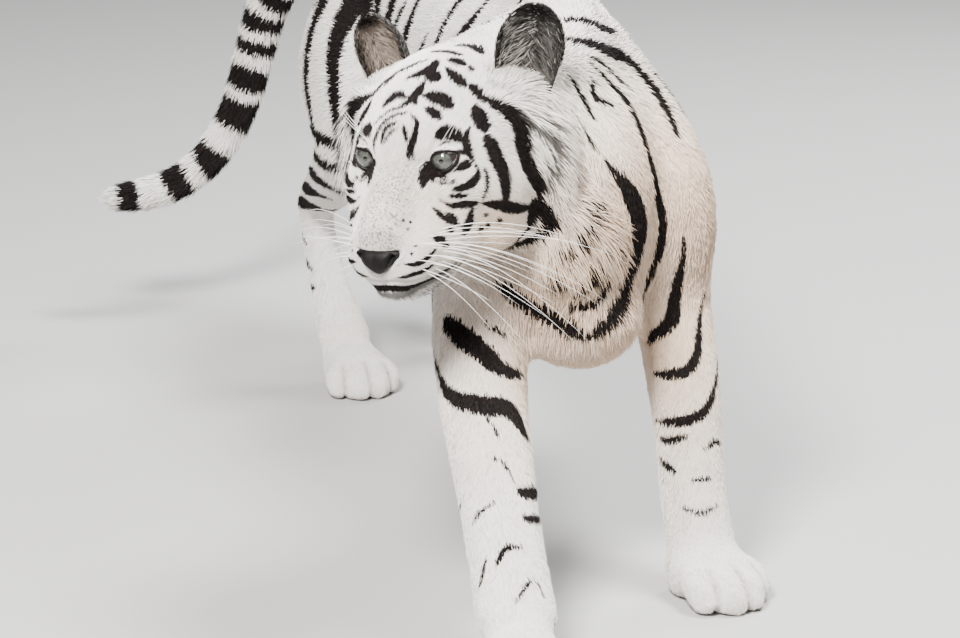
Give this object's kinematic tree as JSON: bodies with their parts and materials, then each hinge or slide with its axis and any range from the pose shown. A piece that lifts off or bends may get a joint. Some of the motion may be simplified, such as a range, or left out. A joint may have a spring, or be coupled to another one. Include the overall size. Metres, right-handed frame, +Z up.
{
  "type": "tiger",
  "caption": "Still life-size white tiger, walking with its head turned to its right, tail curled down, standing on small flats under its paws.",
  "frame": {"origin": "middle of the whole animal's bounding box in X and Y, on the floor", "axes": "+Z up; the trunk faces -Y; the animal's left side is at +X"},
  "size_m": [0.6854, 1.9626, 0.841],
  "materials": {
    "head": "short dense fur, off-white with dark brown stripes",
    "neck": "short dense fur, off-white with dark brown stripes",
    "trunk": "short dense fur, off-white with dark brown stripes",
    "foreleg_left": "short dense fur, off-white with dark brown stripes",
    "foreleg_right": "short dense fur, off-white with dark brown stripes",
    "forepaw_left": "short dense fur, off-white with dark brown stripes",
    "forepaw_right": "short dense fur, off-white with dark brown stripes",
    "hindleg_left": "short dense fur, off-white with dark brown stripes",
    "hindleg_right": "short dense fur, off-white with dark brown stripes",
    "hindpaw_left": "short dense fur, off-white with dark brown stripes",
    "hindpaw_right": "short dense fur, off-white with dark brown stripes",
    "tail_base": "short dense fur, off-white with dark brown stripes",
    "tail_middle": "short dense fur, off-white with dark brown stripes",
    "tail_tip": "short dense fur, off-white with dark brown stripes",
    "ear_left": "thin skin under short fur",
    "ear_right": "thin skin under short fur",
    "eye_left": "wet gloss, pale blue-grey iris",
    "eye_right": "wet gloss, pale blue-grey iris",
    "nose": "fine pebbled, slightly moist"
  },
  "bodies": {
    "root": {"head": "head", "neck": "neck", "trunk": "trunk", "foreleg_left": "foreleg_left", "foreleg_right": "foreleg_right", "forepaw_left": "forepaw_left", "forepaw_right": "forepaw_right", "hindleg_left": "hindleg_left", "hindleg_right": "hindleg_right", "hindpaw_left": "hindpaw_left", "hindpaw_right": "hindpaw_right", "tail_base": "tail_base", "tail_middle": "tail_middle", "tail_tip": "tail_tip", "ear_left": "ear_left", "ear_right": "ear_right", "eye_left": "eye_left", "eye_right": "eye_right", "nose": "nose"}
  },
  "joints": []
}
